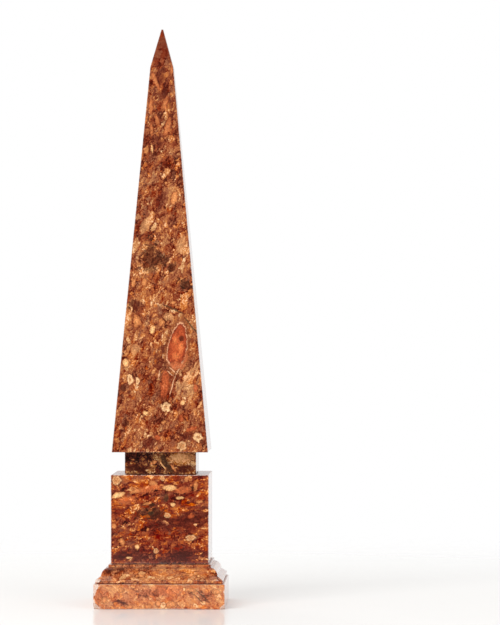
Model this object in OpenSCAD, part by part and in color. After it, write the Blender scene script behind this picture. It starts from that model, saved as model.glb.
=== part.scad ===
// Mantel obelisk in polished fossil marble. Five stones of square plan stand on one another on thin
// beds of dark cement, and an iron tie rod with a nut under the slab draws them together.
// Lengths are in millimetres, +Z is up, and the origin is the centre of the underside.

/* [Die] */
// Width of the die, the square block between the base course and the neck
die_w = 78; // [60:0.5:100]
// Height of the die
die_h = 70.7; // [45:0.1:100]

/* [Base course] */
// How far the upper fillet stands out beyond the die
cap_out = 1.8; // [0.8:0.1:4]
// Height of the upper fillet
cap_h = 2.2; // [1.4:0.1:5]
// How far the ovolo swells out below the upper fillet
ovolo_out = 5.5; // [3:0.1:8]
// Height of the ovolo
ovolo_h = 6.6; // [5:0.1:12]
// Height of the splay that runs out from the ovolo to the lower fillet
splay_h = 3.2; // [1.5:0.1:6]
// How far the lower fillet stands out beyond the ovolo
foot_out = 4.3; // [2:0.1:6]
// Height of the lower fillet
foot_h = 2.5; // [1.6:0.1:8]

/* [Base slab] */
// How far the slab stands out beyond the base course
slab_out = 1.5; // [1:0.1:8]
// Height of the slab
slab_h = 19.8; // [16:0.1:32]

/* [Neck] */
// How far the neck stands back from the die
neck_in = 10.5; // [6:0.1:16]
// Height of the neck
neck_h = 17.2; // [10:0.1:30]

/* [Shaft] */
// Width of the shaft at its foot
shaft_w = 76.8; // [62:0.2:96]
// Width of the shaft where its point begins
shaft_top_w = 18.6; // [14:0.2:30]
// Height of the shaft up to its point
shaft_h = 309.4; // [200:0.1:420]
// Height of the four-sided point
point_h = 31; // [18:0.5:50]
// Width of the worn flat at the very top
tip_w = 1.6; // [1.2:0.1:4]

/* [Finish] */
// Width of the eased arrises
arris = 0.6; // [0.3:0.1:1.2]
// Thickness of the cement between two stones
bed_t = 0.4; // [0.2:0.1:1]
// How far the cement stands back behind the faces of the stones
bed_in = 1.4; // [1.3:0.1:4]

/* [Tie rod] */
// Diameter of the iron tie rod
rod_d = 8; // [6:0.5:10]
// Room round the rod in the bores of the lower stones
bore_clear = 1; // [0.5:0.1:2]
// Room round the rod in the socket of the shaft, where it is grouted
socket_clear = 0.25; // [0.1:0.05:0.5]
// Depth of the socket in the shaft
socket_h = 60; // [30:1:90]
// Room between the end of the rod and the end of its socket
socket_end = 2; // [1:0.5:6]
// Width of the nut across its flats
nut_flats = 13; // [11:0.5:16]
// Height of the nut
nut_h = 6.5; // [4:0.5:7]
// Room in the thread between the nut and the rod
thread_clear = 0.1; // [0.05:0.05:0.2]
// Diameter of the washer
washer_d = 24; // [20:0.5:26]
// Thickness of the washer
washer_t = 2; // [1:0.1:3]
// Diameter of the recess in the underside
recess_d = 30; // [28:0.5:44]
// How far the rod stands out below the nut
rod_proud = 2; // [1:0.5:2.5]
// How far the end of the rod stays above the table
rod_lift = 1.5; // [0.5:0.1:2]

/* [Hidden] */

// Widths that follow from the die, each from the one above it
cap_w = die_w + 2 * cap_out;
ovolo_w = cap_w + 2 * ovolo_out;
foot_w = ovolo_w + 2 * foot_out;
slab_w = foot_w + 2 * slab_out;
neck_w = die_w - 2 * neck_in;
splay_top = foot_h + splay_h;
course_h = splay_top + ovolo_h + cap_h;

// The ovolo is one arc: upright at its foot, and reaching the upper fillet at its head
ovolo_r = (ovolo_out * ovolo_out + ovolo_h * ovolo_h) / (2 * ovolo_out);

// Height of the underside of each stone
course_z = slab_h + bed_t;
die_z = course_z + course_h + bed_t;
neck_z = die_z + die_h + bed_t;
shaft_z = neck_z + neck_h + bed_t;

// The fixing hangs in the recess: the washer bears on its roof and the nut on the washer
bore_d = rod_d + 2 * bore_clear;
recess_h = rod_lift + rod_proud + nut_h + washer_t;
nut_z = rod_lift + rod_proud;
washer_z = nut_z + nut_h;
rod_top = shaft_z + socket_h - socket_end;

// How far a cutting tool runs past the face that it cuts
past = 1;

// Smoothness of arcs, and of the small hollows that chips leave
$fn = 64;
chip_fn = 24;

// Damage to the slab and the course. A chip is [place along the arris, width, depth],
// and a place is measured from the middle of an arris or up from the underside.
slab_top_chips = [[-15, 5, 1.4]];
slab_foot_chips = [[6, 3, 0.9]];
slab_left_chips = [[19, 12, 3.4], [12.5, 4, 1.3], [5.5, 5, 1], [0.5, 11, 3.4]];
slab_right_chips = [[0, 9, 2.3], [14, 4, 0.8]];
course_foot_chips = [[30.5, 4, 1.2], [-49, 5, 1.3]];

// A rectangle that stands on its bottom edge, with its four corners cut back
function eased_outline(w, h, cut) = [
    [cut - w / 2, 0], [w / 2 - cut, 0], [w / 2, cut], [w / 2, h - cut],
    [w / 2 - cut, h], [cut - w / 2, h], [-w / 2, h - cut], [-w / 2, cut]
];

// The elevation of the shaft, with each half width stretched and then cut back,
// so that the same outline gives its faces and, turned to the diagonal, its hips
function shaft_outline(stretch, cut) =
    let (half = [for (w = [shaft_w - 2 * arris, shaft_w, shaft_top_w, tip_w]) w / 2 * stretch - cut],
         level = [0, arris, shaft_h, shaft_h + point_h],
         last = len(level) - 1)
    concat([for (i = [0 : last]) [half[i], level[i]]],
           [for (i = [last : -1 : 0]) [-half[i], level[i]]]);

// A stone of square plan, which is what its front and its side elevation have in common
module square_plan(reach) {
    intersection() {
        rotate([90, 0, 0]) linear_extrude(reach, center = true) children();
        rotate([90, 0, 90]) linear_extrude(reach, center = true) children();
    }
}

// A plain square block with every arris eased
module dressed_block(w, h) {
    intersection() {
        square_plan(w + past) polygon(eased_outline(w, h, arris));
        linear_extrude(h) translate([0, -w / 2]) polygon(eased_outline(w, w, arris));
    }
}

// The hole for the tie rod through a stone that is h high
module rod_bore(h) {
    translate([0, 0, -past]) cylinder(d = bore_d, h = h + 2 * past);
}

// The shell-shaped hollow of a chip struck off an arris: foot is the point on the arris,
// and outward is the way from the stone to the air there
module chip(foot, outward, width, depth) {
    r = (width * width / 4 + depth * depth) / (2 * depth);
    translate(foot + outward / norm(outward) * (r - depth)) sphere(r, $fn = chip_fn);
}

// Cement between two stones, as wide as the narrower one and set back behind its arris
module bed(w) {
    bed_w = w - 2 * bed_in;
    difference() {
        translate([-bed_w / 2, -bed_w / 2, 0]) cube([bed_w, bed_w, bed_t]);
        rod_bore(bed_t);
    }
}

// The slab with the recess for the nut, and the chips that its front has lost
module base_slab() {
    edge = slab_w / 2;
    color("peru") difference() {
        dressed_block(slab_w, slab_h);
        rod_bore(slab_h);
        translate([0, 0, -past]) cylinder(d = recess_d, h = recess_h + past);
        for (c = slab_top_chips) chip([c[0], -edge, slab_h], [0, -1, 1], c[1], c[2]);
        for (c = slab_foot_chips) chip([c[0], -edge, 0], [0, -1, -1], c[1], c[2]);
        for (c = slab_left_chips) chip([-edge, -edge, c[0]], [-1, -1, 0], c[1], c[2]);
        for (c = slab_right_chips) chip([edge, -edge, c[0]], [1, -1, 0], c[1], c[2]);
    }
}

// The front of the course: the lower fillet with its splay, the ovolo at both ends, and the upper fillet
module course_elevation() {
    arc_x = ovolo_w / 2 - ovolo_r;
    polygon([
        [-foot_w / 2, 0], [foot_w / 2, 0], [foot_w / 2, foot_h],
        [ovolo_w / 2, splay_top], [-ovolo_w / 2, splay_top], [-foot_w / 2, foot_h]
    ]);
    translate([-cap_w / 2, 0]) square([cap_w, course_h]);
    intersection() {
        translate([-ovolo_w / 2, 0]) square([ovolo_w, splay_top + ovolo_h]);
        for (side = [-1, 1]) translate([side * arc_x, splay_top]) circle(ovolo_r);
    }
}

// The moulded course, mitred at the corners
module base_course() {
    color("sienna") translate([0, 0, course_z]) difference() {
        square_plan(foot_w + past) course_elevation();
        rod_bore(course_h);
        for (c = course_foot_chips) chip([c[0], -foot_w / 2, foot_h], [0, -1, 1], c[1], c[2]);
    }
}

// The square block of the pedestal
module die() {
    color("saddlebrown") translate([0, 0, die_z]) difference() {
        dressed_block(die_w, die_h);
        rod_bore(die_h);
    }
}

// The short block that lifts the shaft clear of the die
module neck() {
    color("maroon") translate([0, 0, neck_z]) difference() {
        dressed_block(neck_w, neck_h);
        rod_bore(neck_h);
    }
}

// The tapering shaft and its point, cut from one stone, with a blind socket for the rod
module shaft() {
    reach = shaft_w * sqrt(2) + past;
    color("chocolate") translate([0, 0, shaft_z]) difference() {
        intersection() {
            square_plan(reach) polygon(shaft_outline(1, 0));
            rotate(45) square_plan(reach) polygon(shaft_outline(sqrt(2), arris / sqrt(2)));
        }
        translate([0, 0, -past]) cylinder(d = rod_d + 2 * socket_clear, h = socket_h + past);
    }
}

// The four beds of cement, from the slab up
module slab_bed() { color("dimgray") translate([0, 0, slab_h]) bed(foot_w); }
module course_bed() { color("dimgray") translate([0, 0, course_z + course_h]) bed(die_w); }
module die_bed() { color("dimgray") translate([0, 0, die_z + die_h]) bed(neck_w); }
module neck_bed() { color("dimgray") translate([0, 0, neck_z + neck_h]) bed(neck_w); }

// The iron rod, from below the nut to near the end of its socket
module tie_rod() {
    color("slategray") translate([0, 0, rod_lift]) cylinder(d = rod_d, h = rod_top - rod_lift);
}

// The washer, which bears on the roof of the recess
module washer() {
    color("gray") translate([0, 0, washer_z]) difference() {
        cylinder(d = washer_d, h = washer_t);
        rod_bore(washer_t);
    }
}

// The hexagon nut under the washer
module nut() {
    color("darkgray") translate([0, 0, nut_z]) difference() {
        cylinder(d = nut_flats / cos(30), h = nut_h, $fn = 6);
        translate([0, 0, -past]) cylinder(d = rod_d + 2 * thread_clear, h = nut_h + 2 * past);
    }
}

base_slab();
slab_bed();
base_course();
course_bed();
die();
die_bed();
neck();
neck_bed();
shaft();
tie_rod();
washer();
nut();
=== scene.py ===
import math

import bpy
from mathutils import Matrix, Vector, noise


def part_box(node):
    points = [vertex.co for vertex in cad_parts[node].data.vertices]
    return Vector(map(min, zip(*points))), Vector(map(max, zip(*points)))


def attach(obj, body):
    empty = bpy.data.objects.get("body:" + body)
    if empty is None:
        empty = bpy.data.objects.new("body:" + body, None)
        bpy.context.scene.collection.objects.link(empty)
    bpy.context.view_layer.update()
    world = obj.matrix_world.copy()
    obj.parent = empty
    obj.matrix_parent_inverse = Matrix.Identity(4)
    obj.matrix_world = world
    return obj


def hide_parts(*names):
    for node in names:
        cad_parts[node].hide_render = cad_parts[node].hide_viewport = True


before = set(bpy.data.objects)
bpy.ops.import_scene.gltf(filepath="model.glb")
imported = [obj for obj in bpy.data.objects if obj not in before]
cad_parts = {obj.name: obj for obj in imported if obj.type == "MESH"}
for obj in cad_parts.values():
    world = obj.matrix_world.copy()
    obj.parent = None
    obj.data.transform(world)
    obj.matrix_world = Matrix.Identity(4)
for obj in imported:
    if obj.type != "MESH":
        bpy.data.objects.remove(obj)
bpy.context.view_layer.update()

# Base slab
# The square foot, sawn from the lightest and most orange part of the marble and polished on top and sides.
# Its front corners are knocked about, and the round recess underneath takes the nut of the tie rod.

MM = 0.001


def fine_steps(length, widest):
    """Distances along a run, closest together at its two ends, where the arrises are."""
    gap, growth = 0.3, 1.45
    steps = [0.0]
    while steps[-1] + gap < length / 2:
        steps.append(steps[-1] + gap)
        gap = min(gap * growth, widest)
    return steps + [length - s for s in reversed(steps)]


def square_ring(half, height, roundness):
    """Points of one level of a stone, anticlockwise from the front left corner and closest together at the
    corners, as (place, distance from the nearest corner, way out of the face)."""
    near = (0, 0.3, 0.7, 1.2, 1.9, 2.8, 4.2, 6.5, 10, 16)
    at_most = (0, 0.03, 0.07, 0.12, 0.19, 0.28, 0.38, 0.5, 0.63, 0.8)
    first = [min(d, share * half) for d, share in zip(near, at_most)] + [half]
    run = first + [2 * half - d for d in reversed(first[1:-1])]
    ring, out = [], Vector((0, -1, 0))
    for turn in range(4):
        for d in run:
            x, y = d - half, -half
            for _ in range(turn):
                x, y = -y, x
            stretch = (1 - roundness) + roundness * half / math.hypot(x, y)
            ring.append((Vector((x * stretch, y * stretch, height)), min(d, 2 * half - d), out))
        out = Vector((-out.y, out.x, 0))
    return ring


def levels_of(outline, widest):
    """Cuts an outline into levels, as (half width, height, roundness, how far along it, how steep it is
    there), and lists its arrises, as (how far along it, way out of the stone)."""
    levels, arrises, travelled, before = [], [], 0.0, Vector((1, 0))
    for (half, height, roundness, sharp), far in zip(outline, outline[1:]):
        run = Vector((far[0] - half, far[1] - height))
        after = run.normalized()
        if sharp:
            out = (Vector((before.y, -before.x)) + Vector((after.y, -after.x))).normalized()
            arrises.append((travelled, out))
        for d in fine_steps(run.length, widest)[:-1]:
            t = d / run.length
            levels.append((half + run.x * t, height + run.y * t, roundness + (far[2] - roundness) * t,
                           travelled + d, run.y / run.length))
        travelled += run.length
        before = after
    levels.append((*outline[-1][:3], travelled, 0.0))
    return levels, arrises


def strike_chips(points, fresh, chips):
    """Strikes chips off a skin: points inside a lumpy ball move back on to it and are marked as fresh."""
    lump, lump_rate, grit, grit_rate = 0.10, 0.9, 0.05, 2.3
    for foot, outward, width, depth in chips:
        outward = Vector(outward).normalized()
        radius = (width * width / 4 + depth * depth) / (2 * depth)
        centre = Vector(foot) + outward * (radius - depth)
        for i, p in enumerate(points):
            rough = radius * (1 + lump * noise.noise(p * lump_rate) + grit * noise.noise(p * grit_rate))
            if (p - centre).length < rough:
                reach = (p - centre).dot(-outward)
                aside = (p - centre + outward * reach).length
                points[i] = p - outward * (math.sqrt(rough * rough - aside * aside) - reach)
                fresh[i] = 1.0


def stone_skin(name, outline, chips=(), widest=2.5, bored=True):
    """Closed skin of a stone of square plan. The outline runs out along the underside, up the face and in
    again over the top, as (half width, height, roundness, is it an arris there). In a bored stone the wall of
    the bore joins its end to its start, and otherwise both are closed over. A chip is (place on an arris, way
    out of the stone, width, depth). Each point carries its distance from the nearest arris, the way into the
    stone from that arris, and whether a chip has laid it bare."""
    levels, arrises = levels_of(outline, widest)
    far_off, upright = 99.0, 0.5
    points, gaps, inward = [], [], []
    for half, height, roundness, along, steepness in levels:
        for place, corner_gap, face_out in square_ring(half, height, roundness):
            gap, into = far_off, Vector((0, 0, 0))
            for at, out in arrises:
                if abs(along - at) < gap:
                    gap = abs(along - at)
                    into = -(face_out * out.x + Vector((0, 0, out.y)))
            if steepness > upright and roundness == 0 and corner_gap < gap:
                hip = -Vector((place.x, place.y, 0)).normalized()
                into = (hip + into * max(0.0, 1 - gap / 2)).normalized()
                gap = corner_gap
            points.append(place)
            gaps.append(gap)
            inward.append(into)
    fresh = [0.0] * len(points)
    strike_chips(points, fresh, chips)
    wide = len(points) // len(levels)
    faces = []
    for k in range(len(levels) if bored else len(levels) - 1):
        this, after = k * wide, (k + 1) % len(levels) * wide
        for i in range(wide):
            j = (i + 1) % wide
            faces.append([this + i, this + j, after + j, after + i])
    if not bored:
        faces.append([wide - 1 - i for i in range(wide)])
        faces.append([len(points) - wide + i for i in range(wide)])
    mesh = bpy.data.meshes.new(name)
    mesh.from_pydata([p * MM for p in points], [], faces)
    for label, kind, field, values in (("arris_gap", "FLOAT", "value", [g * MM for g in gaps]),
                                       ("arris_in", "FLOAT_VECTOR", "vector", [c for v in inward for c in v]),
                                       ("fresh", "FLOAT", "value", fresh)):
        mesh.attributes.new(label, kind, "POINT").data.foreach_set(field, values)
    stone = bpy.data.objects.new(name, mesh)
    bpy.context.scene.collection.objects.link(stone)
    return stone


def add(tree, kind, inputs=None, **settings):
    """Adds a node: a socket among the inputs is linked, anything else is set as the value."""
    made = tree.nodes.new(kind)
    for key, value in settings.items():
        setattr(made, key, value)
    for key, value in (inputs or {}).items():
        if isinstance(value, bpy.types.NodeSocket):
            tree.links.new(value, made.inputs[key])
        else:
            made.inputs[key].default_value = value
    return made


def calc(tree, operation, *values, clamp=False):
    """A sum on numbers, as the socket that gives its result."""
    made = add(tree, "ShaderNodeMath", dict(enumerate(values)), operation=operation, use_clamp=clamp)
    return made.outputs[0]


def vcalc(tree, operation, *values):
    """A sum on vectors, as the socket that gives its result."""
    made = add(tree, "ShaderNodeVectorMath", dict(enumerate(values)), operation=operation)
    return made.outputs["Value" if operation in ("LENGTH", "DOT_PRODUCT") else "Vector"]


def scaled(tree, vector, amount):
    """A vector times a number, as its socket."""
    return add(tree, "ShaderNodeVectorMath", {0: vector, "Scale": amount}, operation="SCALE").outputs[0]


def fade(tree, value, start, end, low=0.0, high=1.0):
    """Goes smoothly from low to high as the value passes from start to end."""
    ends = {"Value": value, "From Min": start, "From Max": end, "To Min": low, "To Max": high}
    return add(tree, "ShaderNodeMapRange", ends, interpolation_type="SMOOTHSTEP").outputs["Result"]


def new_sockets(tree, inputs, outputs):
    """Names the sockets of a node group and gives its input sockets and its output node."""
    for name, kind, value in inputs:
        socket = tree.interface.new_socket(name, in_out="INPUT", socket_type="NodeSocket" + kind)
        if value is not None:
            socket.default_value = value
    for name, kind in outputs:
        tree.interface.new_socket(name, in_out="OUTPUT", socket_type="NodeSocket" + kind)
    return tree.nodes.new("NodeGroupInput").outputs, tree.nodes.new("NodeGroupOutput")


# The rule for every arris: it is rounded all along, and small nicks are knocked out of it here and there.
# Rounding is how far the arris goes in, as a share of the ease. A nick sets in over a span of its noise, gets
# shallower at its flank away from the arris, and shows bare stone once it is deeper than the rounding.
worn_arrises = bpy.data.node_groups.new("Worn arrises", "GeometryNodeTree")
tree = worn_arrises
given, result = new_sockets(
    tree,
    [("Stone", "Geometry", None), ("Ease", "Float", 0.7 * MM), ("Nick depth", "Float", 0.8 * MM),
     ("Nick length", "Float", 3 * MM), ("Nick share", "Float", 0.4), ("Seed", "Float", 0.0),
     ("Finish", "Material", None)],
    [("Stone", "Geometry")])
rounding, nick_span, nick_flank, bare_depth, depth_seed = 0.41, 0.14, 0.7, 0.12 * MM, 7.0
gap, into, struck = [
    add(tree, "GeometryNodeInputNamedAttribute", {"Name": name}, data_type=kind).outputs["Attribute"]
    for name, kind in (("arris_gap", "FLOAT"), ("arris_in", "FLOAT_VECTOR"), ("fresh", "FLOAT"))]
left = calc(tree, "SUBTRACT", 1.0, calc(tree, "DIVIDE", gap, given["Ease"]), clamp=True)
most_eased = calc(tree, "MULTIPLY", given["Ease"], rounding)
eased = calc(tree, "MULTIPLY", calc(tree, "MULTIPLY", left, left), most_eased)
place = add(tree, "GeometryNodeInputPosition").outputs[0]
per_nick = calc(tree, "DIVIDE", 1.0, given["Nick length"])
where, how_deep = [
    add(tree, "ShaderNodeTexNoise", {"Vector": place, "W": seed, "Scale": per_nick, "Detail": detail},
        noise_dimensions="4D").outputs[0]
    for seed, detail in ((given["Seed"], 2.0), (calc(tree, "ADD", given["Seed"], depth_seed), 0.0))]
sill = calc(tree, "SUBTRACT", 1.0, given["Nick share"])
nicked = fade(tree, where, sill, calc(tree, "ADD", sill, nick_span))
nick = calc(tree, "MULTIPLY", calc(tree, "MULTIPLY", nicked, how_deep), given["Nick depth"])
nick = calc(tree, "SUBTRACT", nick, calc(tree, "MULTIPLY", gap, nick_flank))
nick = calc(tree, "MAXIMUM", nick, 0.0)
unstruck = calc(tree, "SUBTRACT", 1.0, struck, clamp=True)
move = scaled(tree, into, calc(tree, "MULTIPLY", calc(tree, "MAXIMUM", eased, nick), unstruck))
moved = add(tree, "GeometryNodeSetPosition", {"Geometry": given["Stone"], "Offset": move})
bare = calc(tree, "MAXIMUM", struck, fade(tree, calc(tree, "SUBTRACT", nick, eased), 0.0, bare_depth))
stored = {"Geometry": moved.outputs[0], "Name": "fresh", "Value": bare}
marked = add(tree, "GeometryNodeStoreNamedAttribute", stored, data_type="FLOAT", domain="POINT")
whole = add(tree, "GeometryNodeRealizeInstances", {"Geometry": marked.outputs[0]})
finished = add(tree, "GeometryNodeSetMaterial", {"Geometry": whole.outputs[0], "Material": given["Finish"]})
tree.links.new(finished.outputs[0], result.inputs[0])


def wear(stone, finish, **sizes):
    """Wears the stone's arrises by the rule above, with lengths in millimetres, and leaves a plain mesh."""
    rule = stone.modifiers.new("Worn arrises", "NODES")
    rule.node_group = worn_arrises
    values = {"Finish": finish}
    for key, value in sizes.items():
        name = key.replace("_", " ").capitalize()
        values[name] = value * MM if key in ("ease", "nick_depth", "nick_length") else value
    for item in worn_arrises.interface.items_tree:
        if item.in_out == "INPUT" and item.name in values:
            rule[item.identifier] = values[item.name]
    bpy.context.view_layer.update()
    plain = bpy.data.meshes.new_from_object(stone.evaluated_get(bpy.context.evaluated_depsgraph_get()))
    stone.modifiers.remove(rule)
    stone.data = plain
    plain.name = stone.name
    for face in plain.polygons:
        face.use_smooth = True
    plain.set_sharp_from_angle(angle=math.radians(24))


def object_place(tree):
    """The place in a piece's own coordinates, in metres, as its socket."""
    return add(tree, "ShaderNodeTexCoord").outputs["Object"]


def mottle(tree, where, size, detail, roughness=0.5):
    """A chance value that swings about a half, in patches of one size, as its socket."""
    inputs = {"Vector": where, "Scale": 1 / size, "Detail": detail, "Roughness": roughness}
    return add(tree, "ShaderNodeTexNoise", inputs).outputs[0]


def about(tree, value, amount, level):
    """Swings by the amount about a level, from a value that swings about a half."""
    return calc(tree, "MULTIPLY_ADD", calc(tree, "SUBTRACT", value, 0.5), amount, level)


def mixed(tree, share, first, second):
    """A number that goes from the first to the second as the share grows, as its socket."""
    return add(tree, "ShaderNodeMix", {0: share, 2: first, 3: second}).outputs[0]


def mixed_colour(tree, share, first, second):
    """A colour that goes from the first to the second as the share grows, as its socket."""
    return add(tree, "ShaderNodeMix", {0: share, 6: first, 7: second}, data_type="RGBA").outputs[2]


def stir(tree, where, size, amount):
    """A wandering offset: how the stone was pushed about while it was still mud."""
    inputs = {"Vector": where, "Scale": 1 / size, "Detail": 2.0}
    drift = add(tree, "ShaderNodeTexNoise", inputs).outputs["Color"]
    return scaled(tree, vcalc(tree, "SUBTRACT", drift, (0.5, 0.5, 0.5)), amount)


def fragments(tree, where, size, share, gap, darkest, lightest):
    """Broken pieces of one size in the matrix: where they are, their rims, their tone and a chance number."""
    cells = {"Vector": where, "Scale": 1 / size}
    colour = add(tree, "ShaderNodeTexVoronoi", cells, feature="F1").outputs["Color"]
    edge = add(tree, "ShaderNodeTexVoronoi", cells, feature="DISTANCE_TO_EDGE").outputs["Distance"]
    dice = add(tree, "ShaderNodeSeparateColor", {0: colour}).outputs
    chosen = calc(tree, "GREATER_THAN", dice[0], calc(tree, "SUBTRACT", 1.0, share))
    mask = calc(tree, "MULTIPLY", chosen, fade(tree, edge, gap * 0.3, gap * 1.2))
    rim = fade(tree, edge, 0.0, gap, 1.0, 0.0)
    return mask, rim, fade(tree, dice[1], 0.0, 1.0, darkest, lightest), dice[2]


def threads(tree, where, size, width):
    """Thin shells cut across: fine broken lines that wander through the matrix."""
    wander = mottle(tree, where, size, 1.0)
    broken = mottle(tree, vcalc(tree, "ADD", where, (29.0, 71.0, 13.0)), size, 0.0)
    line = fade(tree, calc(tree, "ABSOLUTE", calc(tree, "SUBTRACT", wander, 0.5)), 0.0, width, 1.0, 0.0)
    return calc(tree, "MULTIPLY", line, fade(tree, broken, 0.46, 0.58))


# What all five stones have in common: a red-brown matrix clouded with light and streaked along the bedding,
# and in it broken shell, as a fine hash, as pieces and as larger clasts, with coral sections here and there.
# Its lengths are in millimetres, and the seed shifts it, so that no two stones are alike.
fossil_marble = bpy.data.node_groups.new("Fossil marble", "ShaderNodeTree")
tree = fossil_marble
given, result = new_sockets(
    tree,
    [("Bedding", "Vector", (0, 0, 0)), ("Stretch", "Float", 1.8), ("Seed", "Float", 0.0),
     ("Cloud", "Float", 0.8), ("Streak", "Float", 1.0), ("Contrast", "Float", 1.3), ("Rim", "Float", 1.0),
     ("Grit", "Float", 1.0), ("Hash share", "Float", 0.5), ("Piece share", "Float", 0.35),
     ("Clast share", "Float", 0.15), ("Coral share", "Float", 0.2)],
    [("Point", "Vector"), ("Tone", "Float"), ("Hue", "Float"), ("Grain", "Float"), ("Coral reach", "Float")])
cloud_size, streak_size, hue_size, grain_size, coral_spacing = 13, 5.5, 6.0, 1.1, 17
thread_width, thread_change, OUT_OF_REACH = 0.05, 0.34, 9.0
point = scaled(tree, object_place(tree), 1 / MM)
shifted = vcalc(tree, "ADD", point, scaled(tree, (37.3, 11.7, 23.9), given["Seed"]))
wide_stir, mid_stir, fine_stir = [stir(tree, shifted, size, amount)
                                  for size, amount in ((24.0, 9.0), (3.5, 3.8), (1.1, 2.0))]
small_stir = vcalc(tree, "ADD", mid_stir, fine_stir)
stirred = vcalc(tree, "ADD", vcalc(tree, "ADD", shifted, wide_stir), small_stir)
bedded = add(tree, "ShaderNodeVectorRotate", {"Vector": stirred, "Rotation": given["Bedding"]},
             rotation_type="EULER_XYZ").outputs[0]
per_stretch = calc(tree, "DIVIDE", 1.0, given["Stretch"])
along = add(tree, "ShaderNodeCombineXYZ", {0: per_stretch, 1: 1.0, 2: 1.0}).outputs[0]
drawn = vcalc(tree, "MULTIPLY", bedded, along)
cloud = mottle(tree, drawn, cloud_size, 1.0)
streak = mottle(tree, vcalc(tree, "MULTIPLY", drawn, (0.55, 1.0, 1.0)), streak_size, 3.0, 0.95)
grain = mottle(tree, shifted, grain_size, 1.0, 0.7)
hue = mottle(tree, drawn, hue_size, 2.0)
tone = about(tree, cloud, given["Cloud"], about(tree, grain, given["Grit"], 0.5))
tone = about(tree, streak, given["Streak"], tone)
thin = calc(tree, "MULTIPLY", fade(tree, cloud, 0.35, 0.6, 1.0, 0.45), given["Rim"])
for size, share, gap, darkest, lightest, hold, dark in ((1.9, "Hash share", 0.16, 0.02, 1.0, 0.55, 0.22),
                                                        (3.8, "Piece share", 0.13, 0.08, 1.0, 0.6, 0.30),
                                                        (7.0, "Clast share", 0.09, 0.50, 0.98, 0.6, 0.16)):
    mask, rim, shade, chance = fragments(tree, drawn, size, given[share], gap, darkest, lightest)
    grainy = about(tree, streak, 0.7, about(tree, grain, given["Grit"], shade))
    tone = mixed(tree, calc(tree, "MULTIPLY", mask, hold), tone, grainy)
    tone = calc(tree, "MULTIPLY_ADD", calc(tree, "MULTIPLY", rim, thin), -dark, tone)
    hue = mixed(tree, calc(tree, "MULTIPLY", mask, 0.7), hue, chance)
pale_edges = threads(tree, drawn, 4.5, thread_width)
dark_edges = threads(tree, vcalc(tree, "ADD", drawn, (51.0, 17.0, 83.0)), 6.0, thread_width)
tone = calc(tree, "MULTIPLY_ADD", dark_edges, -thread_change, tone)
tone = calc(tree, "MULTIPLY_ADD", pale_edges, thread_change, tone)
tone = about(tree, tone, given["Contrast"], 0.5)
corals = add(tree, "ShaderNodeTexVoronoi", {"Vector": shifted, "Scale": 1 / coral_spacing}, feature="F1")
dice = add(tree, "ShaderNodeSeparateColor", {0: corals.outputs["Color"]}).outputs
missing = calc(tree, "LESS_THAN", dice[0], calc(tree, "SUBTRACT", 1.0, given["Coral share"]))
coral_size = fade(tree, dice[1], 0.0, 1.0, 0.12, 0.26)
coral_reach = calc(tree, "DIVIDE", corals.outputs["Distance"], coral_size)
coral_reach = calc(tree, "MULTIPLY_ADD", missing, OUT_OF_REACH, coral_reach)
near_point = vcalc(tree, "ADD", point, scaled(tree, small_stir, 0.5))
for name, socket in (("Point", near_point), ("Tone", tone), ("Hue", hue), ("Grain", grain),
                     ("Coral reach", coral_reach)):
    tree.links.new(socket, result.inputs[name])


def paint(red, green, blue):
    """A colour as it looks, from 0 to 255, as the light values that a shader takes."""
    def light(c):
        c /= 255
        return c / 12.92 if c <= 0.04045 else ((c + 0.055) / 1.055) ** 2.4
    return (light(red), light(green), light(blue), 1.0)


# What use and age have done to every stone: pale bruised arrises and chips, with a painted highlight on
# arrises that do not look down, dust and painted shade on the faces that look up such as the ledges, and a
# sawn underside.
# Level is 1 on a face that looks up and -1 on one that looks down.
worn_skin = bpy.data.node_groups.new("Worn skin", "ShaderNodeTree")
tree = worn_skin
given, result = new_sockets(
    tree,
    [("Colour", "Color", None), ("Grain", "Float", 0.5), ("Rubbed and highlit", "Float", 0.3)],
    [("Colour", "Color"), ("Roughness", "Float")])
chip_pale, dust_and_shade_grey, saw_pale = paint(248, 226, 210), paint(104, 84, 74), paint(196, 158, 132)
polished, broken_rough, dust_rough = 0.05, 0.6, 0.5
facing = add(tree, "ShaderNodeNewGeometry").outputs["Normal"]
level = add(tree, "ShaderNodeSeparateXYZ", {0: facing}).outputs["Z"]
fresh, gap = [add(tree, "ShaderNodeAttribute", attribute_name=name).outputs["Fac"]
              for name in ("fresh", "arris_gap")]
# Arrises are paler: partly rubbed by wear and partly a painted highlight, kept off arrises that look down, as
# if lit from above
along_arris = fade(tree, gap, 0.1 * MM, 0.7 * MM, 1.0, 0.0)
along_arris = calc(tree, "MULTIPLY", along_arris, fade(tree, given["Grain"], 0.3, 0.6))
rubbed = calc(tree, "MULTIPLY", along_arris, given["Rubbed and highlit"])
rubbed = calc(tree, "MULTIPLY", rubbed, fade(tree, level, -0.3, 0.0))
chipped = calc(tree, "MULTIPLY", fresh, fade(tree, given["Grain"], 0.3, 0.62, 0.5, 0.95))
pale = calc(tree, "MAXIMUM", rubbed, chipped)
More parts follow.
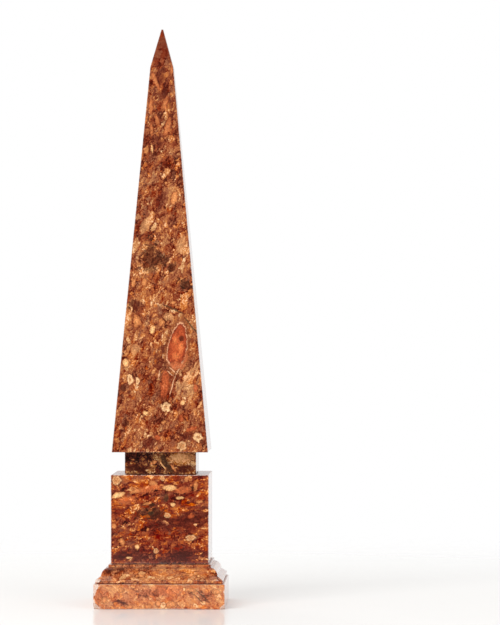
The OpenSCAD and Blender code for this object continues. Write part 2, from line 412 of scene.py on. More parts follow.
# Faces that look up are drawn darker and greyer: dust, and painted shade where the ledges are seen
dust_and_shade = fade(tree, level, 0.75, 0.95, 0.0, 0.35)
dust_and_shade = calc(tree, "MULTIPLY", dust_and_shade, fade(tree, given["Grain"], 0.25, 0.65, 0.6, 1.0))
saw_marks = add(tree, "ShaderNodeTexWave", {"Vector": object_place(tree), "Scale": 160.0, "Distortion": 1.5,
                                            "Detail": 2.0}).outputs["Fac"]
sawn = fade(tree, level, -0.95, -0.75, 1.0, 0.0)
sawn = calc(tree, "MULTIPLY", sawn, fade(tree, saw_marks, 0.0, 1.0, 0.3, 0.6))
colour = given["Colour"]
for share, tint in ((pale, chip_pale), (dust_and_shade, dust_and_shade_grey), (sawn, saw_pale)):
    colour = mixed_colour(tree, share, colour, tint)
roughness = fade(tree, fresh, 0.0, 1.0, polished, broken_rough)
roughness = calc(tree, "ADD", roughness, calc(tree, "MULTIPLY", dust_and_shade, dust_rough))
tree.links.new(colour, result.inputs["Colour"])
tree.links.new(calc(tree, "ADD", roughness, sawn), result.inputs["Roughness"])

# One thing that shows at a known place in a face: how far a point is from its middle, as a share of its
# radius there. The three ways out from the middle are each as long as one over the radius that way. Taper
# draws the top in to a point, and the rim may be drawn in between lobes, like the petals of a coral section.
inlay = bpy.data.node_groups.new("Inlay", "ShaderNodeTree")
tree = inlay
given, result = new_sockets(
    tree,
    [("Point", "Vector", (0, 0, 0)), ("Centre", "Vector", (0, 0, 0)), ("Across", "Vector", (1, 0, 0)),
     ("Inward", "Vector", (0, 1, 0)), ("Up", "Vector", (0, 0, 1)), ("Lobes", "Float", 0.0),
     ("Taper", "Float", 0.0)],
    [("Reach", "Float")])
petal_size, petal_middle = 0.2, 0.7
from_centre = vcalc(tree, "SUBTRACT", given["Point"], given["Centre"])
across, inward, up = [vcalc(tree, "DOT_PRODUCT", from_centre, given[way])
                      for way in ("Across", "Inward", "Up")]
pinched = calc(tree, "MULTIPLY", across, calc(tree, "MULTIPLY_ADD", up, given["Taper"], 1.0))
spread = vcalc(tree, "LENGTH", add(tree, "ShaderNodeCombineXYZ", {0: pinched, 1: inward, 2: up}).outputs[0])
half_lobes = calc(tree, "MULTIPLY", given["Lobes"], 0.5)
half_turns = calc(tree, "MULTIPLY", calc(tree, "ARCTAN2", up, across), half_lobes)
rounded = calc(tree, "SUBTRACT", calc(tree, "ABSOLUTE", calc(tree, "COSINE", half_turns)), petal_middle)
lobed = calc(tree, "MULTIPLY", calc(tree, "GREATER_THAN", given["Lobes"], 0.5), petal_size)
radius = calc(tree, "ADD", 1.0, calc(tree, "MULTIPLY", rounded, lobed))
tree.links.new(calc(tree, "DIVIDE", spread, radius), result.inputs["Reach"])


def shades_of(tree, value, shades):
    """Colours along a value, as the socket that gives the colour."""
    ramp = add(tree, "ShaderNodeValToRGB", {0: value})
    spots = ramp.color_ramp.elements
    while len(spots) < len(shades):
        spots.new(0.5)
    for spot, (at, colour) in zip(spots, shades):
        spot.position = at
        spot.color = paint(*colour)
    return ramp.outputs[0]


# What shows in the faces. For each: how ragged its rim is (below nought it spreads where the stone is dark),
# how dark the halo round it is, how much of the stone it hides, and its shades from the middle to the rim.
FOSSILS = {
    "coral": (1.0, 0.5, 0.95, [(0.0, (170, 104, 62)), (0.14, (214, 150, 98)), (0.3, (192, 124, 76)),
                               (0.46, (244, 196, 144)), (0.82, (238, 182, 130)), (1.0, (160, 90, 52))]),
    "ring": (1.0, 0.5, 0.85, [(0.0, (178, 104, 60)), (0.28, (226, 164, 108)), (0.5, (196, 124, 74)),
                              (0.75, (238, 186, 132)), (1.0, (150, 84, 50))]),
    "shell": (0.9, 0.4, 0.9, [(0.0, (255, 212, 150)), (0.6, (246, 186, 122)), (1.0, (204, 126, 74))]),
    "honey": (1.5, 0.4, 0.85, [(0.0, (228, 152, 92)), (0.6, (214, 134, 78)), (1.0, (180, 98, 55))]),
    "flame": (0.8, 0.2, 0.8, [(0.0, (222, 140, 86)), (0.6, (206, 118, 68)), (1.0, (170, 84, 48))]),
    "rust": (1.4, 0.4, 0.75, [(0.0, (206, 104, 60)), (0.6, (190, 88, 48)), (1.0, (150, 62, 34))]),
    "maroon": (-1.4, 0.3, 0.75, [(0.0, (72, 28, 18)), (0.7, (86, 34, 22)), (1.0, (112, 50, 30))]),
    "olive": (-1.2, 0.3, 0.7, [(0.0, (64, 48, 33)), (0.7, (76, 54, 37)), (1.0, (104, 66, 42))]),
    "smoke": (-5.0, 0.0, 0.5, [(0.0, (58, 42, 27)), (1.0, (80, 56, 38))]),
    "wine": (-4.0, 0.0, 0.6, [(0.0, (94, 36, 26)), (1.0, (110, 46, 31))]),
    "blush": (2.0, 0.0, 0.55, [(0.0, (216, 112, 62)), (1.0, (206, 114, 68))]),
    "tan": (1.0, 0.0, 0.6, [(0.0, (214, 156, 104)), (1.0, (196, 132, 84))]),
    "lens": (0.35, 0.2, 0.92, [(0.0, (204, 100, 56)), (0.3, (190, 84, 46)), (0.6, (168, 70, 40)),
                               (0.74, (138, 56, 35)), (0.775, (236, 176, 134)), (0.8, (222, 154, 110)),
                               (0.83, (142, 78, 48)), (1.0, (136, 78, 46))]),
    "fold": (1.8, 0.0, 0.85, [(0.0, (196, 106, 64)), (1.0, (172, 90, 54))]),
    "thread": (0.3, 0.3, 0.8, [(0.0, (244, 192, 150)), (1.0, (222, 158, 114))]),
    "ember": (2.2, 0.0, 0.65, [(0.0, (234, 142, 82)), (0.5, (220, 118, 66)), (1.0, (196, 92, 52))]),
}

# How far the top of one is drawn in to a point, the shade of the halos, and how strongly the polish mirrors
POINTED = {"lens": 0.36}
HALO = paint(92, 40, 25)
MARBLE_IOR = 1.56


def marble(name, shades, bedding, seed, cloud, front, lean=0.0, streak=1.3, contrast=1.05, rim=1.0, grit=0.95,
           stretch=1.5, hash_share=0.5, piece_share=0.5, clast_share=0.14, coral_share=0.2, lift=0.05,
           rubbed=0.3, plain=(), tints=(), inlays=()):
    """One stone's finish: its own shades from dark to light over the fossil marble that all of them are cut
    from, with its tone lifted and its arrises rubbed pale by so much, which is partly wear and partly a
    painted highlight. The front is at -front, and leans in by lean per millimetre of height. A plain, (x, z,
    width, height, tilt, level, share), draws the tone of a part of the front towards one level. A tint, (x,
    z, width, height, tilt, change), darkens or lightens a part. An inlay, (kind, x, z, width, height), with
    its tilt and its lobes where it has them, is a fossil or a stain that shows there."""
    finish = bpy.data.materials.new(name)
    finish.use_nodes = True
    tree = finish.node_tree
    shader = tree.nodes["Principled BSDF"]
    body = add(tree, "ShaderNodeGroup", {
        "Bedding": (0, math.radians(bedding), 0), "Stretch": stretch, "Seed": seed, "Cloud": cloud,
        "Streak": streak, "Contrast": contrast, "Rim": rim, "Grit": grit, "Hash share": hash_share,
        "Piece share": piece_share, "Clast share": clast_share, "Coral share": coral_share},
        node_tree=fossil_marble).outputs

    def reach(x, z, width, height, tilt=0, lobes=0, taper=0.0):
        """How far a point is from the middle of a thing in the front, as a share of its radius there."""
        turn = Vector((math.cos(math.radians(tilt)), 0, math.sin(math.radians(tilt))))
        thickness = 0.6 * (width + height)
        return add(tree, "ShaderNodeGroup", {
            "Point": body["Point"], "Centre": (x, lean * z - front, z), "Across": turn * 2 / width,
            "Inward": Vector((0, 1, 0)) * 2 / thickness, "Up": Vector((-turn.z, 0, turn.x)) * 2 / height,
            "Lobes": lobes, "Taper": taper}, node_tree=inlay).outputs[0]

    tone = calc(tree, "ADD", body["Tone"], lift)
    for *patch, level, share in plain:
        tone = mixed(tree, fade(tree, reach(*patch), 0.6, 1.15, share, 0.0), tone, level)
    for *patch, change in tints:
        tone = calc(tree, "ADD", tone, fade(tree, reach(*patch), 0.5, 1.25, change, 0.0))

    # Light parts are a little yellower and stronger in colour than dark ones, and every patch differs
    hue = about(tree, body["Hue"], 0.026, fade(tree, tone, 0.3, 0.85, 0.494, 0.504))
    strength = about(tree, body["Hue"], -0.24, fade(tree, tone, 0.4, 0.85, 1.0, 1.09))
    colour = add(tree, "ShaderNodeHueSaturation", {"Hue": hue, "Saturation": strength,
                                                   "Color": shades_of(tree, tone, shades)}).outputs[0]

    # Corals placed by chance stay out of the front, where the fossils have places of their own
    behind_front = calc(tree, "ADD", vcalc(tree, "DOT_PRODUCT", body["Point"], (0, 1, -lean)), front)
    kept_out = fade(tree, behind_front, 2.0, 4.0, OUT_OF_REACH, 0.0)
    nearest = {"coral": calc(tree, "ADD", body["Coral reach"], kept_out)}
    for kind, *patch in inlays:
        here = reach(*patch, taper=POINTED.get(kind, 0.0))
        nearest[kind] = calc(tree, "MINIMUM", nearest[kind], here) if kind in nearest else here
    grain = about(tree, tone, 0.4, about(tree, body["Grain"], 1.2, 1.05))
    gritty = add(tree, "ShaderNodeCombineXYZ", {0: grain, 1: grain, 2: grain}).outputs[0]
    for kind, distance in nearest.items():
        ragged, halo, hides, fossil_shades = FOSSILS[kind]
        rough = about(tree, tone, -0.35 * ragged, about(tree, body["Grain"], 0.55 * ragged, distance))
        inside = vcalc(tree, "MULTIPLY", shades_of(tree, rough, fossil_shades), gritty)
        colour = mixed_colour(tree, fade(tree, rough, 0.95, 1.35, halo, 0.0), colour, HALO)
        colour = mixed_colour(tree, fade(tree, rough, 0.78, 1.06, hides, 0.0), colour, inside)
    worn = {"Colour": colour, "Grain": body["Grain"], "Rubbed and highlit": rubbed}
    skin = add(tree, "ShaderNodeGroup", worn, node_tree=worn_skin).outputs
    tree.links.new(skin["Colour"], shader.inputs["Base Color"])
    tree.links.new(skin["Roughness"], shader.inputs["Roughness"])
    shader.inputs["IOR"].default_value = MARBLE_IOR
    return finish


def shade_range(darkest, dark, middle, light, lightest):
    """Shades spread over the tones so that the darkest and the lightest are rare, with still deeper and paler
    ones beyond them."""
    cream = (255, 236, 205)
    deepest = tuple(0.7 * c for c in darkest)
    palest = tuple(c + 0.45 * (w - c) for c, w in zip(lightest, cream))
    return [(0.0, deepest), (0.10, darkest), (0.29, dark), (0.51, middle), (0.73, light), (0.92, lightest),
            (1.0, palest)]


# The bore for the tie rod is round, and a little way out from it the levels of a skin are square.
# The washer bears on the roof of the recess.
bore_clear, squared_by, recess_half = 1.0, 3.0, 15.0
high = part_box("base_slab")[1]
slab_half, slab_top = high.x / MM, high.z / MM
bore_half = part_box("tie_rod")[1].x / MM + bore_clear
squared_half = bore_half + squared_by
recess_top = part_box("washer")[1].z / MM
slab_chips = [
    ((-15, -slab_half, slab_top), (0, -1, 1), 5, 1.4),
    ((6, -slab_half, 0), (0, -1, -1), 3, 0.9),
    ((-slab_half, -slab_half, 19), (-1, -1, 0), 12, 3.4),
    ((-slab_half, -slab_half, 12.5), (-1, -1, 0), 4, 1.3),
    ((-slab_half, -slab_half, 5.5), (-1, -1, 0), 5, 1.0),
    ((-slab_half, -slab_half, 0), (-1, -1, -1), 13, 4.2),
    ((slab_half, -slab_half, 0), (1, -1, -1), 11, 3.0),
    ((slab_half, -slab_half, 14), (1, -1, 0), 4, 0.8),
]
base_slab = stone_skin(
    "base_slab_stone",
    [(bore_half, recess_top, 1, 0), (recess_half, recess_top, 1, 0), (recess_half, 0, 1, 0),
     (slab_half, 0, 0, 1), (slab_half, slab_top, 0, 1), (squared_half, slab_top, 0, 0),
     (bore_half, slab_top, 1, 0)],
    slab_chips, widest=1.2)
slab_marble = marble(
    "slab_marble",
    shade_range((155, 80, 40), (185, 105, 60), (208, 130, 80), (226, 151, 101), (250, 182, 131)),
    bedding=-38, seed=1.0, cloud=0.6, contrast=0.92, rim=0.75, grit=0.8, lift=0.08, rubbed=0.35,
    front=slab_half,
    tints=[
        (1, 14, 35.5, 9.5, 4, -0.2),
        (-24, 14, 22, 9, 0, 0.12),
        (5, 4.5, 19.5, 7, 0, 0.16),
        (-27, 5, 24, 4, -8, -0.2),
        (38, 10.5, 17.5, 9.5, 35, -0.12),
        (26, 6, 20, 10, 0, 0.14),
        (-42, 5, 11.5, 8, 0, 0.14),
    ],
    inlays=[
        ("blush", 3, 14.5, 34, 8, 4),
        ("coral", 3.5, 3.5, 4, 5, 0, 4),
        ("honey", 10.5, 4.5, 5.5, 5, 0, 3),
        ("honey", -8.5, 2.5, 5.5, 4),
        ("honey", -23, 2, 5, 3),
        ("honey", -30, 15.5, 4, 4, 0, 3),
        ("shell", 20, 16, 2.4, 2),
        ("shell", 5.5, 0.5, 1.6, 2.4),
        ("honey", -43.5, 7.5, 5, 5.5),
        ("maroon", -34, 6, 7, 1.1, 20),
        ("maroon", -27.5, 4.5, 8, 1.1, -20),
        ("olive", 35, 10.5, 0.9, 16, 48),
        ("olive", 31, 9, 0.8, 13, 48),
        ("honey", -0.5, 4.5, 4.5, 5, 0, 4),
        ("honey", 8, 3, 4.5, 4.5, 0, 4),
        ("honey", 24.5, 15.5, 10, 3.5, -10),
        ("honey", 44.5, 14, 7, 4),
    ])
wear(base_slab, slab_marble, ease=0.6, nick_depth=1.6, nick_length=3.5, nick_share=0.42, seed=1.0)
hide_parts("base_slab")
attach(base_slab, "root")

# Base course
# The moulded step under the die: a wide fillet, a splay, a swelling ovolo and a narrow fillet, mitred at the
# corners. It is cut in one piece from the same light marble as the slab, and stands on it in cement.

cap_out, cap_h, ovolo_out, splay_h, foot_h, arc_steps = 1.8, 2.2, 5.5, 3.2, 2.5, 8
low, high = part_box("base_course")
foot_half, course_low, course_top = high.x / MM, low.z / MM, high.z / MM
cap_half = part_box("die")[1].x / MM + cap_out
ovolo_half, splay_low = cap_half + ovolo_out, course_low + foot_h
ovolo_low, ovolo_high = splay_low + splay_h, course_top - cap_h
ovolo_radius = (ovolo_out ** 2 + (ovolo_high - ovolo_low) ** 2) / (2 * ovolo_out)
ovolo_arc = []
for step in range(1, arc_steps + 1):
    height = (ovolo_high - ovolo_low) * step / arc_steps
    out = ovolo_half - ovolo_radius + math.sqrt(ovolo_radius ** 2 - height ** 2)
    ovolo_arc.append((out, ovolo_low + height, 0, 0))
course_chips = [
    ((30.5, -foot_half, splay_low), (0, -1, 1), 4, 1.2),
    ((-49, -foot_half, splay_low), (0, -1, 1), 5, 1.3),
]
base_course = stone_skin(
    "base_course_stone",
    [(bore_half, course_low, 1, 0), (squared_half, course_low, 0, 0), (foot_half, course_low, 0, 1),
     (foot_half, splay_low, 0, 1), (ovolo_half, ovolo_low, 0, 0), *ovolo_arc, (cap_half, course_top, 0, 1),
     (squared_half, course_top, 0, 0), (bore_half, course_top, 1, 0)],
    course_chips, widest=1.2)
course_marble = marble(
    "course_marble",
    shade_range((130, 60, 28), (166, 92, 52), (195, 120, 74), (215, 141, 91), (245, 180, 132)),
    bedding=4, seed=2.0, cloud=0.6, contrast=1.0, lift=0.05, rubbed=0.12, coral_share=0.05,
    front=ovolo_half,
    tints=[
        (-36, 31, 22, 8, 0, -0.24),
        (-12, 31, 26, 7, 0, -0.22),
        (12, 31, 24, 5, 0, -0.1),
        (24, 25, 24, 6, 0, 0.1),
    ],
    inlays=[
        ("honey", 24.5, 27, 14, 1.6),
        ("honey", 29, 23.5, 11, 1.3),
        ("maroon", -37, 30.5, 9.5, 2.4, 10),
        ("shell", 31, 26, 2.4, 1.9),
        ("honey", -15.5, 26, 9.5, 2.4, 6),
        ("honey", 0.5, 31, 8, 2.4, 4),
        ("maroon", 36.5, 31.5, 6.5, 1.6),
    ])
wear(base_course, course_marble, ease=0.5, nick_depth=1.0, nick_length=3.0, nick_share=0.4, seed=2.0)
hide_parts("base_course")
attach(base_course, "root")

# Die
# The square block of the pedestal, polished on its four sides. It comes from a part of the marble with more
# contrast than the base has: cream and honey streaks in its upper part and dark maroon below.


def block_outline(half, low, top):
    """The outline of a plain square block, from the bore out and in again, with an arris at foot and head."""
    return [(bore_half, low, 1, 0), (squared_half, low, 0, 0), (half, low, 0, 1),
            (half, top, 0, 1), (squared_half, top, 0, 0), (bore_half, top, 1, 0)]


low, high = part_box("die")
die_half, die_low, die_top = high.x / MM, low.z / MM, high.z / MM
die = stone_skin("die_stone", block_outline(die_half, die_low, die_top))
die_marble = marble(
    "die_marble",
    shade_range((80, 26, 14), (115, 45, 25), (150, 72, 42), (196, 108, 66), (246, 176, 122)),
    bedding=8, seed=3.0, cloud=0.5, stretch=2.0, streak=1.5, rim=0.55, grit=0.45, lift=0.02, rubbed=0.65,
    hash_share=0.36, piece_share=0.36, clast_share=0.0,
    front=die_half,
    tints=[
        (0, 95.5, 78, 20, 0, 0.04),
        (-25, 86, 28, 9, 5, 0.14),
        (20, 97, 40, 13, 0, -0.1),
        (16, 85, 16, 10, 0, -0.08),
        (6, 67.5, 56, 17, 6, -0.14),
        (24, 70, 29, 16, 0, -0.08),
        (14, 57, 36, 12, 0, -0.14),
        (4, 42, 84, 15, 0, -0.22),
        (-30, 41.5, 16, 11.5, 0, -0.14),
        (-8, 75, 13, 9.5, 0, -0.1),
        (-24.5, 78, 11, 7, 20, -0.22),
        (-34, 66, 12, 16, 0, 0.12),
        (-15, 46, 16, 9, 0, 0.12),
        (36, 50, 8, 19, 0, 0.08),
        (-8, 91.5, 16, 8, -15, -0.12),
        (-35.5, 47.5, 7, 11.5, 0, 0.14),
    ],
    inlays=[
        ("smoke", -8, 75.5, 22, 9),
        ("wine", 22, 70, 34, 16, 5),
        ("wine", 20, 42, 36, 9),
        ("wine", -26, 41, 24, 7),
        ("ring", -34.5, 101.5, 8, 7.5, 0, 6),
        ("shell", -33, 90, 13, 5, 18),
        ("honey", -5, 99, 8, 5, -15, 3),
        ("shell", 8, 95.5, 13, 5.5),
        ("shell", 16, 87.5, 8, 3),
        ("ring", 2.5, 103, 4, 4.5, 0, 6),
        ("shell", 10.5, 82.5, 4.5, 4),
        ("honey", 28.5, 96.5, 4, 9, -8, 3),
        ("ring", 6, 73.5, 5.5, 5, 0, 6),
        ("rust", 25, 73, 6.5, 5, 10),
        ("ring", 24.5, 56, 9, 5.5, 0, 6),
        ("honey", -30, 52.5, 5, 7, 15, 3),
        ("shell", -18, 48.5, 4, 4.5),
        ("ring", -3, 45.5, 4.5, 5, 0, 6),
        ("shell", -24.5, 40, 7, 2),
        ("honey", -10, 83, 9.5, 3, 10),
        ("honey", -36.5, 65, 5, 5, 0, 3),
        ("honey", 32, 84.5, 7, 3, 5),
        ("olive", -7, 75.5, 5, 3),
        ("honey", -9.5, 62.5, 3, 3),
        ("honey", 21, 102.5, 4, 4),
        ("olive", 5, 87.5, 4, 6.5, -20),
        ("blush", -25, 86, 18, 5.5, 10),
        ("blush", -8, 94.5, 20, 6, 12),
        ("blush", 20, 94, 18, 7, 12),
        ("honey", -19.5, 92.5, 12, 3.5, 14),
    ])
wear(die, die_marble, ease=0.6, nick_depth=0.9, nick_length=3.0, nick_share=0.4, seed=3.0)
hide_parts("die")
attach(die, "root")

# Neck
# The small block that lifts the shaft clear of the die, cut from the darkest part of the marble. It is
# polished on its four sides, and bedded in cement above and below.

low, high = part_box("neck")
neck_half, neck_low, neck_top = high.x / MM, low.z / MM, high.z / MM
neck = stone_skin("neck_stone", block_outline(neck_half, neck_low, neck_top))
neck_marble = marble(
    "neck_marble",
    shade_range((56, 24, 16), (86, 40, 28), (114, 60, 40), (168, 108, 68), (212, 152, 104)),
    bedding=-40, seed=4.0, cloud=0.8, rim=0.8, grit=0.8, lift=0.17, rubbed=0.15, piece_share=0.35,
    front=neck_half,
    tints=[
        (-17, 119.5, 24, 7, 0, -0.3),
        (16.5, 119, 24, 7, -3, 0.24),
        (-8.5, 112.5, 37, 9.5, 0, -0.14),
        (19.5, 110, 19.5, 5.5, 0, -0.16),
    ],
    inlays=[
        ("tan", 17, 119, 24, 6.5, 2),
        ("maroon", 22, 110.5, 18, 8, 6),
        ("maroon", -18, 111, 22, 6),
        ("olive", 4.5, 114.5, 5, 20, 34),
        ("shell", 2, 112.5, 1.6, 10, 34),
        ("honey", 10.5, 110.5, 2, 8, 40),
        ("honey", -5, 115.5, 6.5, 2.4, 20),
        ("honey", -22, 117.5, 5, 1.6),
    ])
wear(neck, neck_marble, ease=0.5, nick_depth=0.7, nick_length=3.0, nick_share=0.4, seed=4.0)
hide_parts("neck")
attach(neck, "root")

# Shaft
# The tapering shaft and its four-sided point, cut from one stone and polished. Shell hash runs steeply up it,
# with the larger fossils near the foot, and the tie rod is grouted into a socket in its underside.

point_h, point_half, tip_half, tip_ease = 31.0, 9.3, 0.8, 0.2
socket_clear, socket_end = 0.25, 2.0
low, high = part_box("shaft")
shaft_half, shaft_low, tip_top = high.x / MM, low.z / MM, high.z / MM
point_low = tip_top - point_h
shaft_lean = (shaft_half - point_half) / (point_low - shaft_low)
rod_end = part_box("tie_rod")[1] / MM
socket_half, socket_top = rod_end.x + socket_clear, rod_end.z + socket_end
shaft = stone_skin(
    "shaft_stone",
    [(socket_half, socket_top, 1, 0), (socket_half, shaft_low, 1, 0), (squared_half, shaft_low, 0, 0),
     (shaft_half, shaft_low, 0, 1), (point_half, point_low, 0, 0), (tip_half, tip_top - tip_ease, 0, 0),
     (tip_half / 2, tip_top, 0, 0)],
    bored=False)
shaft_marble = marble(
    "shaft_marble",
    shade_range((105, 40, 18), (134, 68, 38), (166, 97, 60), (196, 127, 84), (238, 172, 127)),
    bedding=68, seed=5.0, cloud=0.5, contrast=0.97, stretch=1.8, piece_share=0.45, clast_share=0.08,
    front=shaft_half + shaft_lean * shaft_low, lean=shaft_lean,
    plain=[(0, 463, 60, 64, 0, 0.2, 0.74)],
    tints=[
        (0, 452, 40, 44, 0, -0.04),
        (0, 405, 30, 60, 0, -0.09),
        (0, 350, 60, 60, 0, -0.03),
        (0, 215, 90, 70, 0, 0.05),
        (1, 437, 9.5, 8, 0, -0.14),
        (-3, 422.5, 4, 11.5, 25, -0.2),
        (-2.5, 368, 16, 12, 0, -0.16),
        (3.5, 414.5, 10, 10, 0, -0.12),
        (1.5, 327, 5.5, 22.5, -20, -0.22),
        (11, 315, 6.5, 13, 10, -0.22),
        (12, 328, 4, 8, 0, 0.22),
        (-7, 279, 20, 16, -10, -0.24),
        (9, 271, 6.5, 8, 0, -0.2),
        (20.5, 257.5, 11.5, 6.5, 30, -0.24),
        (-19.5, 240.5, 13, 9.5, 0, -0.24),
        (-7, 296, 13, 8, 20, -0.1),
        (-11, 257.5, 8, 8, 0, 0.1),
        (15.5, 289.5, 8, 19.5, 0, 0.12),
        (-17, 311, 6.5, 13, 0, 0.1),
        (-30.5, 203.5, 8, 16, 0, -0.12),
        (0, 197.5, 11.5, 19.5, -20, -0.1),
        (-1.5, 145.5, 24, 17.5, 0, -0.12),
        (-32, 133.5, 11.5, 14.5, 0, -0.1),
        (24, 185.5, 11.5, 19.5, -20, 0.16),
        (28.5, 157.5, 8, 16, -15, 0.1),
        (19.5, 245.5, 9.5, 16, 0, 0.12),
        (-26, 225.5, 11.5, 13, 0, 0.12),
        (-12.5, 209.5, 8, 9.5, 0, -0.12),
        (6.5, 399, 6, 14, 0, -0.2),
        (-1.5, 424.5, 6, 12, 0, -0.18),
        (-8, 392, 7, 24, 0, 0.14),
        (0, 391.5, 5, 10, 0, -0.12),
        (-15, 319, 12, 22, 0, -0.07),
        (-21.5, 263, 7, 12, 0, 0.18),
        (25, 207, 8, 13, 0, 0.12),
        (-8, 131.5, 16, 11, 0, -0.18),
        (-28, 131, 16, 12, 0, -0.08),
        (21, 137, 9, 9, 0, -0.16),
        (17, 148, 9, 9, 0, -0.12),
    ],
    inlays=[
        ("smoke", -9.5, 284, 12, 15, -10),
        ("smoke", -2.5, 277, 14, 9, 15),
        ("smoke", -10, 270, 19, 6, 10),
        ("smoke", 9, 271, 5, 10, -25),
        ("smoke", 20, 258, 15, 5, -28),
        ("smoke", -21, 241, 13, 8, 20),
        ("tan", 24, 185, 2.4, 28, -26),
        ("tan", 29.5, 190, 1.8, 24, -24),
        ("tan", 19.5, 180, 1.8, 26, -28),
        ("tan", 26.5, 172, 2.2, 26, -24),
        ("tan", 15, 172, 1.8, 24, -26),
        ("tan", -20, 206, 8, 10, -20),
        ("tan", 6, 232, 9, 8),
        ("tan", 16, 290, 7, 16, -20),
        ("tan", -13, 305, 8, 14, -25),
        ("wine", -8, 132, 15, 10),
        ("wine", 20, 138, 14, 9),
        ("wine", -18, 241, 9, 9),
        ("wine", 0, 325, 5, 18, -20),
        ("wine", -2, 374, 10, 9),
        ("wine", -1, 198, 9, 24, -10),
        ("wine", 0.5, 425, 7, 13),
        ("wine", -2, 410, 9, 8),
        ("wine", 8, 401, 6, 16),
        ("wine", 0.5, 392, 4, 11),
        ("flame", -8.5, 401, 3.5, 15),
        ("flame", 8, 430, 2.5, 11),
        ("shell", -7.5, 367, 2.5, 8),
        ("flame", -3.5, 390, 4, 12, 14),
        ("flame", -8, 382, 4, 12),
        ("flame", 5, 385, 5, 20, -14),
        ("flame", 2.5, 403, 5, 16, -20),
        ("flame", -5, 422, 3.5, 18, 22),
        ("honey", 10.5, 327, 5, 10, -15),
        ("honey", -12, 366, 5, 9),
        ("honey", -13, 259.5, 4, 8, -10),
        ("lens", 14, 209.5, 19, 46, -9),
        ("ember", 16.5, 207.5, 6, 12, -8),
        ("ember", 12.5, 200, 8, 9, -10),
        ("ember", 12, 213, 5, 10, -10),
        ("fold", 12.5, 193, 13, 7),
        ("fold", 20.5, 200, 4, 12, -14),
        ("rust", 3.5, 177.5, 8, 27, -6),
        ("thread", 9.5, 189.5, 8, 1.1, -37),
        ("thread", 8, 186.5, 7.5, 1.1, -36),
        ("thread", 10, 177.5, 1.1, 21, -14),
        ("thread", 14, 188.5, 1.1, 6, -27),
        ("thread", -1, 186, 1, 8, -8),
        ("coral", 4.5, 160, 9, 9, 20, 5),
        ("coral", 30.5, 136, 8.5, 8.5, 50, 5),
        ("ring", 17.5, 129, 8, 8.5, 30, 6),
        ("shell", -11.5, 155, 5, 5),
        ("shell", 18, 163, 4, 4.5),
        ("shell", -28, 195, 5.5, 7),
        ("coral", -24, 181.5, 5, 9.5, 0, 3),
        ("coral", -18, 180.5, 4, 7, 0, 3),
        ("honey", 3, 148, 5, 5, 0, 4),
        ("rust", -2, 135.5, 5, 5),
        ("rust", 28.5, 175, 4, 7, -10),
        ("honey", -19, 228.5, 7, 12, 10, 3),
        ("shell", -6.5, 221.5, 5, 8, -15),
        ("honey", 1, 227.5, 6.5, 7, 0, 3),
        ("honey", -22, 259, 4, 9.5, 10),
        ("rust", 17, 151, 4, 7),
        ("rust", 25.5, 142.5, 9.5, 4, 20),
        ("maroon", 17, 214.5, 4, 4),
        ("maroon", -26.5, 147, 4, 5),
        ("maroon", -29.5, 175, 4, 6.5),
        ("olive", 10, 238, 19, 1.6, -24),
        ("olive", 26, 223, 1.5, 24, 40),
        ("maroon", 23.5, 255.5, 5.5, 3, 30),
        ("honey", 10, 243.5, 6.5, 3),
    ])
wear(shaft, shaft_marble, ease=0.6, nick_depth=0.9, nick_length=3.0, nick_share=0.4, seed=5.0)
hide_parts("shaft")
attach(shaft, "root")

# Beds
# Dark cement, spread between the stones and squeezed level as each is set down on the last, then struck back
# a little behind their arrises, so that every joint shows as a thin dark line.


def refinish(names, finish):
    """Gives CAD pieces that keep their own shape a finish."""
    for name in names:
        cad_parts[name].data.materials.clear()
        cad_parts[name].data.materials.append(finish)


cement = bpy.data.materials.new("bedding_cement")
cement.use_nodes = True
tree = cement.node_tree
shader = tree.nodes["Principled BSDF"]
sandy = mottle(tree, object_place(tree), 1 / 900, 3.0)
stained = mottle(tree, object_place(tree), 1 / 90, 2.0)
cement_shade = about(tree, stained, 0.8, about(tree, sandy, 0.7, 0.5))
cement_colour = shades_of(tree, cement_shade, [(0.2, (38, 22, 16)), (0.5, (56, 34, 25)), (0.8, (88, 62, 48))])
sand = add(tree, "ShaderNodeBump", {"Height": sandy, "Strength": 0.5, "Distance": 0.2 * MM}).outputs[0]
tree.links.new(cement_colour, shader.inputs["Base Color"])
tree.links.new(sand, shader.inputs["Normal"])
shader.inputs["Roughness"].default_value = 0.9
refinish(("slab_bed", "course_bed", "die_bed", "neck_bed"), cement)

# Tie rod, washer and nut
# Iron, dark with dry rust. The rod draws the stones together, from the socket in the shaft down to the nut,
# which bears on the washer against the roof of the slab's recess. Only their lower ends show, from below.

iron = bpy.data.materials.new("rusty_iron")
iron.use_nodes = True
tree = iron.node_tree
shader = tree.nodes["Principled BSDF"]
patchy = mottle(tree, object_place(tree), 1 / 260, 4.0)
pitted = mottle(tree, object_place(tree), 1 / 1400, 2.0)
rusted = fade(tree, about(tree, pitted, 0.3, patchy), 0.42, 0.58)
rust = shades_of(tree, pitted, [(0.3, (78, 38, 22)), (0.5, (116, 60, 32)), (0.7, (150, 86, 46))])
bare = shades_of(tree, pitted, [(0.3, (58, 52, 48)), (0.7, (96, 90, 86))])
pits = add(tree, "ShaderNodeBump", {"Height": pitted, "Strength": 0.4, "Distance": 0.1 * MM}).outputs[0]
tree.links.new(mixed_colour(tree, rusted, bare, rust), shader.inputs["Base Color"])
tree.links.new(fade(tree, rusted, 0.0, 1.0, 0.9, 0.1), shader.inputs["Metallic"])
tree.links.new(fade(tree, rusted, 0.0, 1.0, 0.45, 0.85), shader.inputs["Roughness"])
tree.links.new(pits, shader.inputs["Normal"])
refinish(("tie_rod", "washer", "nut"), iron)

# Floor, light and camera
# A pale, slightly glossy table top in a white studio, which runs out into the white away from the object.
# Three large soft lamps light it from the front and from behind, and the camera stands far off, nearly level.

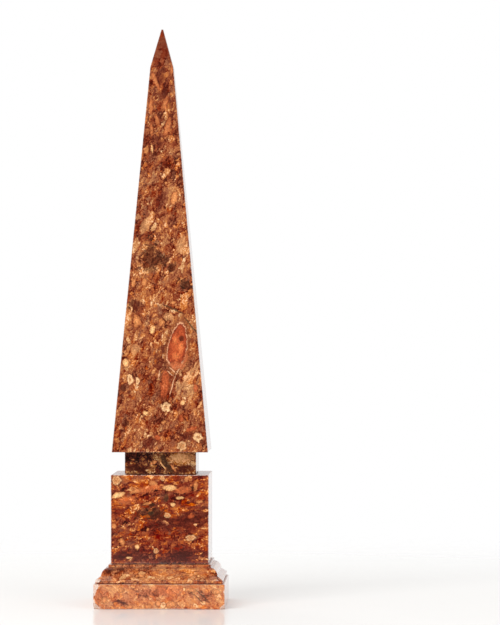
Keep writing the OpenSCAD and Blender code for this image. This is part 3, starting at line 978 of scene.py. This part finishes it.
bpy.ops.mesh.primitive_plane_add(size=3, location=(0, 0, 0))
floor = bpy.context.object
floor.name = "floor"
floor_finish = bpy.data.materials.new("floor_white")
floor_finish.use_nodes = True
tree = floor_finish.node_tree
shader = tree.nodes["Principled BSDF"]
shader.inputs["Base Color"].default_value = (0.985, 0.97, 0.945, 1)
shader.inputs["Roughness"].default_value = 0.1
shader.inputs["IOR"].default_value = 1.05
far_out = fade(tree, vcalc(tree, "LENGTH", object_place(tree)), 0.2, 0.9)
nothing = add(tree, "ShaderNodeBsdfTransparent").outputs[0]
open_floor = add(tree, "ShaderNodeMixShader", {0: far_out, 1: shader.outputs[0], 2: nothing}).outputs[0]
tree.links.new(open_floor, tree.nodes["Material Output"].inputs["Surface"])
floor.data.materials.append(floor_finish)

# The studio is white where it is seen. In reflections it is white behind the object and dark in front of it,
# and it gives the object a soft light of its own.
dark_front, soft_light = 0.05, 0.55
world = bpy.data.worlds.new("studio")
bpy.context.scene.world = world
world.use_nodes = True
tree = world.node_tree
sky = tree.nodes["Background"]
rays = add(tree, "ShaderNodeLightPath").outputs
seen = calc(tree, "MAXIMUM", rays["Is Camera Ray"], rays["Is Transmission Ray"])
way = add(tree, "ShaderNodeTexCoord").outputs["Generated"]
backwards = add(tree, "ShaderNodeSeparateXYZ", {0: way}).outputs["Y"]
mirrored = calc(tree, "MULTIPLY", rays["Is Glossy Ray"], fade(tree, backwards, -0.3, 0.5, dark_front, 1.0))
unseen = calc(tree, "SUBTRACT", 1.0, calc(tree, "MAXIMUM", seen, rays["Is Glossy Ray"]))
glow = calc(tree, "MULTIPLY", unseen, soft_light)
tree.links.new(calc(tree, "ADD", calc(tree, "MAXIMUM", seen, mirrored), glow), sky.inputs["Strength"])
sky.inputs["Color"].default_value = (1, 1, 1, 1)

lit_point = Vector((0, 0, 0.2))
for name, place, size, power in (("key", (-0.9, -1.6, 1.5), 1.2, 26.0), ("fill", (1.3, -1.8, 0.9), 1.4, 12.0),
                                 ("back", (-0.6, 1.8, 1.2), 1.4, 14.0)):
    lamp = bpy.data.lights.new(name, "AREA")
    lamp.size = size
    lamp.energy = power
    lamp_object = bpy.data.objects.new(name, lamp)
    bpy.context.scene.collection.objects.link(lamp_object)
    lamp_object.location = place
    lamp_object.rotation_euler = (lit_point - Vector(place)).to_track_quat("-Z", "Y").to_euler()
    lamp_object.visible_glossy = False

# The focal length is in pixels of a picture that is so many pixels high. The camera looks at the aim from
# this distance, turned and dipped by these angles.
focal_pixels, picture_pixels, sensor = 3202.7, 625, 36.0
turn, dip, distance, aim = math.radians(1.408), math.radians(-0.284), 2.5874, Vector((0.07092, 0, 0.23538))
camera = bpy.data.cameras.new("camera")
camera.sensor_fit = "VERTICAL"
camera.sensor_height = sensor
camera.lens = sensor * focal_pixels / picture_pixels
camera.clip_end = 100
camera_object = bpy.data.objects.new("camera", camera)
bpy.context.scene.collection.objects.link(camera_object)
looking = Vector((-math.sin(turn) * math.cos(dip), math.cos(turn) * math.cos(dip), -math.sin(dip)))
camera_object.location = aim - looking * distance
camera_object.rotation_euler = looking.to_track_quat("-Z", "Y").to_euler()
bpy.context.scene.camera = camera_object
bpy.context.scene.view_settings.view_transform = "Standard"
